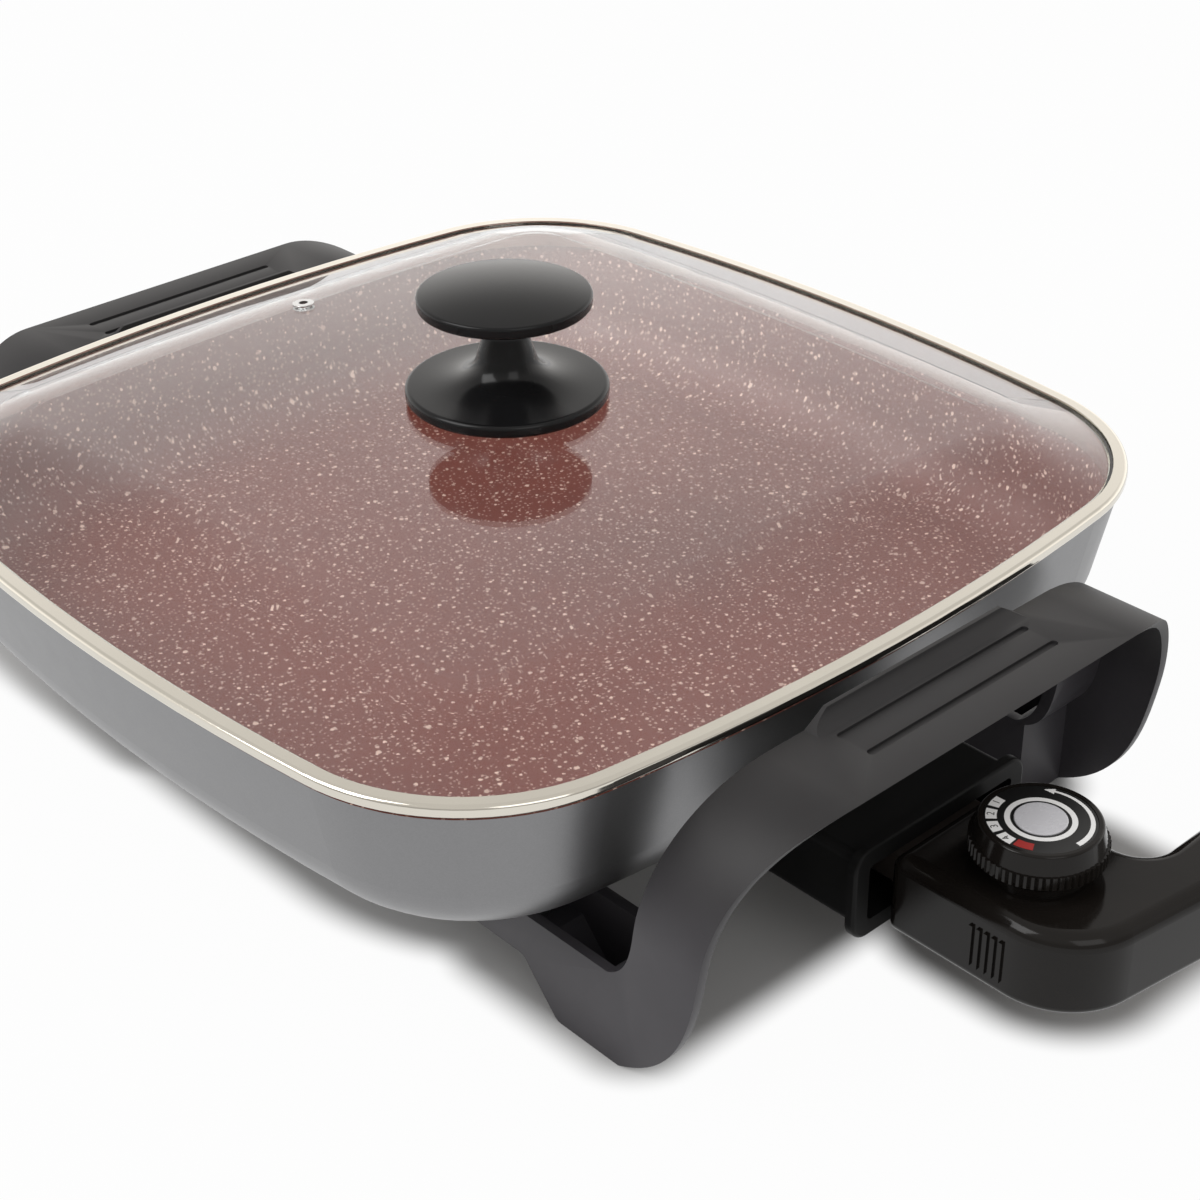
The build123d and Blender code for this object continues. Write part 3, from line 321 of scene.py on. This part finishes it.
def pan_material():
    """Metallic grey outside, and the speckled coating inside, told apart by which way a face looks."""
    material, tree, place = start_material("pan_finish")
    facing = add(tree, "TexCoord").outputs["Normal"]
    at = parts_of(tree, place)
    outward = add(tree, "CombineXYZ", {0: at[0], 1: at[1]}).outputs[0]
    away = vector_node(tree, "DOT_PRODUCT", outward, facing)["Value"]
    upward = math_node(tree, "GREATER_THAN", parts_of(tree, facing)[2], LEVEL_FACE)
    inward = math_node(tree, "LESS_THAN", away, 0.0)
    above = math_node(tree, "GREATER_THAN", at[2], COAT_LOW)
    inside = math_node(tree, "MULTIPLY", math_node(tree, "MAXIMUM", upward, inward), above)

    coat, specks = coating(tree, place, facing)
    flakes = add(tree, "TexVoronoi", {"Vector": place, "Scale": 1 / PAN_FLAKE}, feature="F1")
    glint = add(tree, "SeparateColor", {"Color": flakes.outputs["Color"]}).outputs[0]
    grey = mix_colours(tree, glint, *PAN_GREYS)
    mottle = spread(tree, noise(tree, place, PAN_MOTTLE), *PAN_ROUGH)
    peel = noise(tree, place, PEEL_GRAIN, detail=SKIN_DETAIL)
    height = math_node(tree, "MULTIPLY_ADD", specks, SPECK_HEIGHT, peel)
    peel_share = math_node(tree, "MULTIPLY_ADD", inside, 1 - PEEL_OUTSIDE, PEEL_OUTSIDE)
    show(tree, principled(tree, {
        "Base Color": mix_colours(tree, inside, grey, coat),
        "Metallic": math_node(tree, "MULTIPLY_ADD", inside, -PAN_METAL, PAN_METAL),
        "Roughness": math_node(tree, "MULTIPLY_ADD", inside, COAT_ROUGHER, mottle),
        "Normal": bump(tree, math_node(tree, "MULTIPLY", height, peel_share), PEEL_DEPTH),
    }))
    return material


def glass_material():
    """Clear tempered glass that lets the lamps' light through to the pan."""
    material, tree, place = start_material("lid_glass_finish")
    glass = principled(tree, {
        "Base Color": rgb(GLASS_COLOUR),
        "Roughness": spread(tree, noise(tree, place, GLASS_HAZE), *GLASS_ROUGH),
        "Transmission Weight": 1.0,
        "IOR": GLASS_IOR,
    })
    clear = add(tree, "BsdfTransparent", {"Color": rgb(GLASS_SHADOW)}).outputs[0]
    path = add(tree, "LightPath").outputs
    passing = math_node(tree, "MAXIMUM", path["Is Shadow Ray"], path["Is Diffuse Ray"])
    show(tree, mix_shaders(tree, passing, glass, clear))
    return material


def metal_material(name, dark, light, rough, grain, depth=0.006 * MM):
    """A metal whose tone and polish vary a little."""
    material, tree, place = start_material(name)
    polish = noise(tree, place, grain / POLISH_FINER, detail=POLISH_DETAIL)
    show(tree, principled(tree, {
        "Base Color": mix_colours(tree, noise(tree, place, grain), dark, light),
        "Metallic": 1.0,
        "Roughness": spread(tree, polish, *rough),
        "Normal": bump(tree, polish, depth),
    }))
    return material


def plastic_material(name, dark, light, rough, grain, depth, gloss=0.5, translucent=0.0):
    """A moulded plastic with a fine grain."""
    material, tree, place = start_material(name)
    inputs = {
        "Base Color": mix_colours(tree, noise(tree, place, TONE_GRAIN), dark, light),
        "Roughness": spread(tree, noise(tree, place, MOTTLE_GRAIN), *rough),
        "Normal": bump(tree, noise(tree, place, grain, detail=SKIN_DETAIL), depth),
        "IOR": PLASTIC_IOR,
        "Specular IOR Level": gloss,
    }
    if translucent:
        inputs["Subsurface Weight"] = translucent
        inputs["Subsurface Radius"] = TRANSLUCENT_REACH
    show(tree, principled(tree, inputs))
    return material


def handle_material():
    """Anthracite moulding, duller on the grips than on the legs, with painted shade that makes the grips
    darker than the legs.
    """
    material, tree, place = start_material("handle_with_painted_shade")
    grip = ramp_between(tree, parts_of(tree, place)[2], *GRIP_HEIGHTS)
    tone = noise(tree, place, TONE_GRAIN)
    # painted shade: the grips' colour is darker than the legs', by height
    leg_lit_colour = mix_colours(tree, tone, *LEG_LIT_COLOURS)
    grip_painted_shade_colour = mix_colours(tree, tone, *GRIP_PAINTED_SHADE_COLOURS)
    dulled = math_node(tree, "MULTIPLY_ADD", noise(tree, place, MOTTLE_GRAIN), HANDLE_MOTTLE, grip)
    skin = noise(tree, place, HANDLE_GRAIN, detail=SKIN_DETAIL)
    show(tree, principled(tree, {
        "Base Color": mix_colours(tree, grip, leg_lit_colour, grip_painted_shade_colour),
        "Roughness": spread(tree, dulled, *HANDLE_ROUGH),
        "Normal": bump(tree, skin, HANDLE_DEPTH),
        "IOR": PLASTIC_IOR,
        "Specular IOR Level": HANDLE_GLOSS,
    }))
    return material


def lamp_material():
    """Small neon lamp, warm glass."""
    material, tree, place = start_material("lamp_finish")
    show(tree, principled(tree, {
        "Base Color": mix_colours(tree, noise(tree, place, LAMP_GRAIN), *LAMP_COLOURS),
        "Transmission Weight": 0.8,
        "Roughness": 0.08,
    }))
    return material


finishes = {
    "pan_coat": pan_material(),
    "rim_steel": metal_material(
        "rim_finish",
        dark=(0.66, 0.625, 0.55),
        light=(0.73, 0.695, 0.62),
        rough=(0.08, 0.14),
        grain=30 * MM,
        depth=0.001 * MM,
    ),
    "steel": metal_material(
        "steel_finish",
        dark=(0.55, 0.55, 0.55),
        light=(0.64, 0.64, 0.63),
        rough=(0.22, 0.34),
        grain=4 * MM,
    ),
    "heater_sheath": metal_material(
        "heater_finish",
        dark=(0.20, 0.185, 0.17),
        light=(0.34, 0.31, 0.28),
        rough=(0.45, 0.6),
        grain=12 * MM,
    ),
    "contact_brass": metal_material(
        "brass_finish",
        dark=(0.66, 0.47, 0.20),
        light=(0.75, 0.56, 0.27),
        rough=(0.25, 0.38),
        grain=3 * MM,
    ),
    "lid_glass": glass_material(),
    "lamp_glass": lamp_material(),
    "handle_plastic": handle_material(),
    "knob_plastic": plastic_material(
        "knob_finish",
        dark=(0.006, 0.006, 0.006),
        light=(0.009, 0.009, 0.010),
        rough=(0.14, 0.20),
        grain=1.2 * MM,
        depth=0.002 * MM,
        gloss=0.22,
    ),
    "guard_plastic": plastic_material(
        "guard_finish",
        dark=(0.006, 0.006, 0.006),
        light=(0.009, 0.009, 0.009),
        rough=(0.38, 0.48),
        grain=0.5 * MM,
        depth=0.006 * MM,
        gloss=0.1,
    ),
    "control_plastic": plastic_material(
        "control_finish",
        dark=(0.007, 0.006, 0.005),
        light=(0.011, 0.009, 0.008),
        rough=(0.10, 0.16),
        grain=1.4 * MM,
        depth=0.003 * MM,
        gloss=0.22,
    ),
    "silicone": plastic_material(
        "silicone_finish",
        dark=(0.045, 0.045, 0.045),
        light=(0.06, 0.06, 0.06),
        rough=(0.55, 0.7),
        grain=0.5 * MM,
        depth=0.006 * MM,
    ),
    "ceramic": plastic_material(
        "ceramic_finish",
        dark=(0.74, 0.72, 0.66),
        light=(0.82, 0.80, 0.74),
        rough=(0.55, 0.75),
        grain=0.4 * MM,
        depth=0.01 * MM,
    ),
    "phenolic": plastic_material(
        "phenolic_finish",
        dark=(0.022, 0.018, 0.016),
        light=(0.034, 0.028, 0.025),
        rough=(0.35, 0.5),
        grain=0.6 * MM,
        depth=0.008 * MM,
    ),
    "dial_print": plastic_material(
        "dial_face_finish",
        dark=(0.006, 0.006, 0.006),
        light=(0.009, 0.009, 0.009),
        rough=(0.26, 0.36),
        grain=0.4 * MM,
        depth=0.004 * MM,
    ),
    "dial_cap": plastic_material(
        "dial_cap_finish",
        dark=(0.50, 0.50, 0.53),
        light=(0.56, 0.56, 0.59),
        rough=(0.22, 0.32),
        grain=0.6 * MM,
        depth=0.003 * MM,
        translucent=0.15,
    ),
}
print_white = plastic_material(
    "print_white_finish",
    dark=(0.74, 0.74, 0.74),
    light=(0.80, 0.80, 0.80),
    rough=(0.4, 0.5),
    grain=0.5 * MM,
    depth=0.002 * MM,
)
print_red = plastic_material(
    "print_red_finish",
    dark=(0.30, 0.012, 0.010),
    light=(0.36, 0.02, 0.016),
    rough=(0.4, 0.5),
    grain=0.5 * MM,
    depth=0.002 * MM,
)
for node_name, node_object in nodes.items():
    node_object.material_slots[0].link = "OBJECT"
    node_object.material_slots[0].material = finishes[slots[node_name]]


# Shapes

def link(name, data):
    """Put a new object in the scene."""
    thing = bpy.data.objects.new(name, data)
    bpy.context.scene.collection.objects.link(thing)
    return thing


def mesh_of(name, shape, material):
    """Turn a bmesh into a mesh with a material."""
    mesh = bpy.data.meshes.new(name)
    shape.to_mesh(mesh)
    shape.free()
    mesh.materials.append(material)
    return mesh


def new_piece(name, data, body):
    """Make a piece of the visual model that rides on a body."""
    piece = link(name, data)
    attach(piece, body)
    return piece


def rounded_copy(node_name, name, body):
    """Replace a node by a copy of its mesh with softly rounded edges."""
    shape = bmesh.new()
    shape.from_mesh(nodes[node_name].data)
    bmesh.ops.remove_doubles(shape, verts=shape.verts, dist=HANDLE_WELD)
    bmesh.ops.dissolve_limit(shape, angle_limit=FLAT_EDGE, verts=shape.verts, edges=shape.edges)
    edges = [e for e in shape.edges if len(e.link_faces) == 2 and e.calc_face_angle() > SHARP_EDGE]
    bmesh.ops.bevel(
        shape,
        geom=edges,
        offset=HANDLE_ROUND,
        offset_type="OFFSET",
        segments=ROUND_STEPS,
        profile=0.5,
        affect="EDGES",
        clamp_overlap=True,
    )
    for face in shape.faces:
        face.smooth = True
    slot = slots[node_name]
    piece = new_piece(name, mesh_of(name, shape, finishes[slot]), body)
    piece.data.set_sharp_from_angle(angle=CREASE)
    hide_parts(node_name)


rounded_copy("handle_right", "handle_right_moulding", "base")
rounded_copy("handle_left", "handle_left_moulding", "base")


# Marks on the dial

def dial_spot(angle, radius):
    """Return the spot at an angle in degrees and a radius from the dial's axis."""
    turn = math.radians(angle)
    return dial_centre + Vector((math.cos(turn), math.sin(turn), 0)) * radius


def ring_sector(shape, start, end, radii, end_radii=None):
    """Add a flat sector of a ring to the dial's face, with inner and outer radii that may change."""
    steps = max(2, int(abs(end - start) / SECTOR_STEP))
    rows = []
    for i in range(steps + 1):
        share = i / steps
        pair = []
        for first, last in zip(radii, end_radii or radii):
            spot = dial_spot(start + (end - start) * share, first + (last - first) * share)
            pair.append(shape.verts.new((spot.x, spot.y, PRINT_Z)))
        rows.append(pair)
    for (a, b), (c, d) in zip(rows, rows[1:]):
        shape.faces.new((a, b, d, c))


def put_in_order(elements, spot):
    """Order a bmesh's points or faces by where they are, so that each run gives the same mesh."""
    for index, element in enumerate(sorted(elements, key=spot)):
        element.index = index
    elements.sort()


def finish_print(name, shape, material):
    """Give a flat print a little thickness and put it on the dial."""
    bmesh.ops.recalc_face_normals(shape, faces=shape.faces)
    solid = bmesh.ops.extrude_face_region(shape, geom=list(shape.faces))
    moved = [v for v in solid["geom"] if isinstance(v, bmesh.types.BMVert)]
    bmesh.ops.translate(shape, verts=moved, vec=(0, 0, PRINT_LIFT))
    bmesh.ops.recalc_face_normals(shape, faces=shape.faces)
    put_in_order(shape.verts, lambda vert: vert.co[:])
    put_in_order(shape.faces, lambda face: face.calc_center_median()[:])
    new_piece(name, mesh_of(name, shape, material), "dial")


def dial_number(number, angle):
    """Print a plain number in a box of the dial, its top outwards, at an angle in degrees."""
    text = bpy.data.curves.new(f"dial_number_{number}", "FONT")
    text.body = str(number)
    text.size = NUMBER_SIZE
    text.extrude = PRINT_LIFT / 2
    text.align_x = "CENTER"
    text.align_y = "CENTER"
    text.materials.append(finishes["dial_print"])
    piece = link(text.name, text)
    spot = dial_spot(angle, BOX_MIDDLE)
    piece.location = (spot.x, spot.y, PRINT_Z + PRINT_LIFT)
    piece.rotation_euler.z = math.radians(angle) - math.pi / 2
    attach(piece, "dial")


def dial_print():
    """White ring, four numbered boxes, a tapering arrow and a red mark."""
    box_radii = (BOX_MIDDLE - BOX_DEPTH / 2, BOX_MIDDLE + BOX_DEPTH / 2)
    white = bmesh.new()
    ring_sector(white, 0, 360, CENTRE_RING)
    ring_sector(white, ARC_FROM, ARC_TO, ARC_RADII, ARC_END_RADII)
    ring_sector(white, ARC_TO, ARROW_TO, ARROW_RADII, ARROW_END_RADII)
    for i in range(BOX_COUNT):
        angle = BOX_START + BOX_STEP * i
        ring_sector(white, angle - BOX_HALF_ANGLE, angle + BOX_HALF_ANGLE, box_radii)
        dial_number(i + 1, angle)
    bmesh.ops.remove_doubles(white, verts=white.verts, dist=PRINT_WELD)
    finish_print("dial_marks", white, print_white)
    red = bmesh.new()
    ring_sector(red, RED_FROM, RED_TO, RED_RADII)
    finish_print("dial_red_mark", red, print_red)


dial_print()


# Stage, light and camera

def outside_pool(tree, place, middle, half, radius):
    """Return 0 in a rounded rectangle of painted shade on the floor and 1 well outside it."""
    offset = vector_node(tree, "SUBTRACT", place, (*middle, 0))[0]
    offset = vector_node(tree, "MULTIPLY", offset, (1, 1, 0))[0]
    offset = vector_node(tree, "ABSOLUTE", offset)[0]
    core = (half[0] - radius, half[1] - radius, 0)
    offset = vector_node(tree, "SUBTRACT", offset, core)[0]
    offset = vector_node(tree, "MAXIMUM", offset, (0, 0, 0))[0]
    distance = vector_node(tree, "LENGTH", offset)["Value"]
    return ramp_between(tree, distance, radius + PAINTED_SHADE_FADE[0], radius + PAINTED_SHADE_FADE[1])


def floor_material():
    """Pale grey floor with painted shade: it shows its own grey and the object's real shadow only in the
    shade pools, and is painted white outside them.
    """
    material, tree, _ = start_material("floor_with_painted_shade")
    pale = principled(tree, {
        "Base Color": rgb((FLOOR_GREY, FLOOR_GREY, FLOOR_GREY)),
        "Roughness": FLOOR_ROUGH,
        "Specular IOR Level": 0.0,
    })
    path = add(tree, "LightPath").outputs
    seen = math_node(tree, "MAXIMUM", path["Is Camera Ray"], path["Is Glossy Ray"])
    share = math_node(tree, "MAXIMUM", seen, path["Is Transmission Ray"])
    # painted shade: the white is taken away inside each pool, which moves with its node
    for node_name, *pool in PAINTED_SHADE_POOLS:
        place = add(tree, "TexCoord", object=nodes[node_name]).outputs["Object"]
        share = math_node(tree, "MULTIPLY", share, outside_pool(tree, place, *pool))
    white = add(tree, "Emission", {"Strength": 1.0}).outputs[0]
    show(tree, mix_shaders(tree, math_node(tree, "MULTIPLY", share, FLOOR_WHITE), pale, white))
    return material


def make_floor():
    """A large flat floor just under the soles."""
    shape = bmesh.new()
    bmesh.ops.create_grid(shape, x_segments=1, y_segments=1, size=FLOOR_HALF)
    floor = link("floor", mesh_of("floor", shape, floor_material()))
    floor.location.z = -FLOOR_DROP


def make_sky():
    """Light from all round, bright behind the object and dimmer elsewhere, seen as plain white."""
    world = bpy.data.worlds.new("studio")
    bpy.context.scene.world = world
    world.use_nodes = True
    tree = world.node_tree
    tree.nodes.clear()
    ray = add(tree, "TexCoord").outputs["Generated"]
    away = (-math.sin(CAMERA_AZIMUTH), math.cos(CAMERA_AZIMUTH), 0)
    behind = vector_node(tree, "DOT_PRODUCT", ray, away)["Value"]
    horizon = ramp_between(tree, behind, *SKY_TURN, SKY_FRONT, SKY_BACK)
    strength = ramp_between(tree, parts_of(tree, ray)[2], *SKY_RISE, horizon, SKY_TOP)
    light = add(tree, "Background", {"Color": rgb(SKY_TINT), "Strength": strength}).outputs[0]
    white = add(tree, "Background", {"Color": rgb((1, 1, 1)), "Strength": 1.0}).outputs[0]
    path = add(tree, "LightPath").outputs
    seen = math_node(tree, "MAXIMUM", path["Is Camera Ray"], path["Is Transmission Ray"])
    add(tree, "OutputWorld", {"Surface": mix_shaders(tree, seen, light, white)})


def area_lamp(name, place, target, side, power):
    """Add a square soft box at a place, turned to a target."""
    data = bpy.data.lights.new(name, "AREA")
    data.shape = "RECTANGLE"
    data.size = side
    data.size_y = side
    data.energy = power
    lamp = link(name, data)
    lamp.location = place
    lamp.rotation_euler = (Vector(target) - Vector(place)).to_track_quat("-Z", "Y").to_euler()


def make_camera():
    """Stand where the photograph was taken from."""
    azimuth, elevation, roll = CAMERA_AZIMUTH, CAMERA_ELEVATION, CAMERA_ROLL
    back = Vector((
        math.sin(azimuth) * math.cos(elevation),
        -math.cos(azimuth) * math.cos(elevation),
        math.sin(elevation),
    ))
    level = Vector((math.cos(azimuth), math.sin(azimuth), 0))
    top = back.cross(level)
    right = math.cos(roll) * level + math.sin(roll) * top
    up = math.cos(roll) * top - math.sin(roll) * level
    data = bpy.data.cameras.new("camera")
    data.lens = CAMERA_LENS
    data.sensor_width = SENSOR_WIDTH
    data.clip_start = CAMERA_CLIP
    camera = link("camera", data)
    axes = Matrix((right, up, back)).transposed().to_4x4()
    camera.matrix_world = Matrix.Translation(CAMERA_PLACE) @ axes
    bpy.context.scene.camera = camera


make_floor()
make_sky()
for lamp in LAMPS:
    area_lamp(*lamp)
make_camera()
bpy.context.scene.view_settings.view_transform = "Standard"
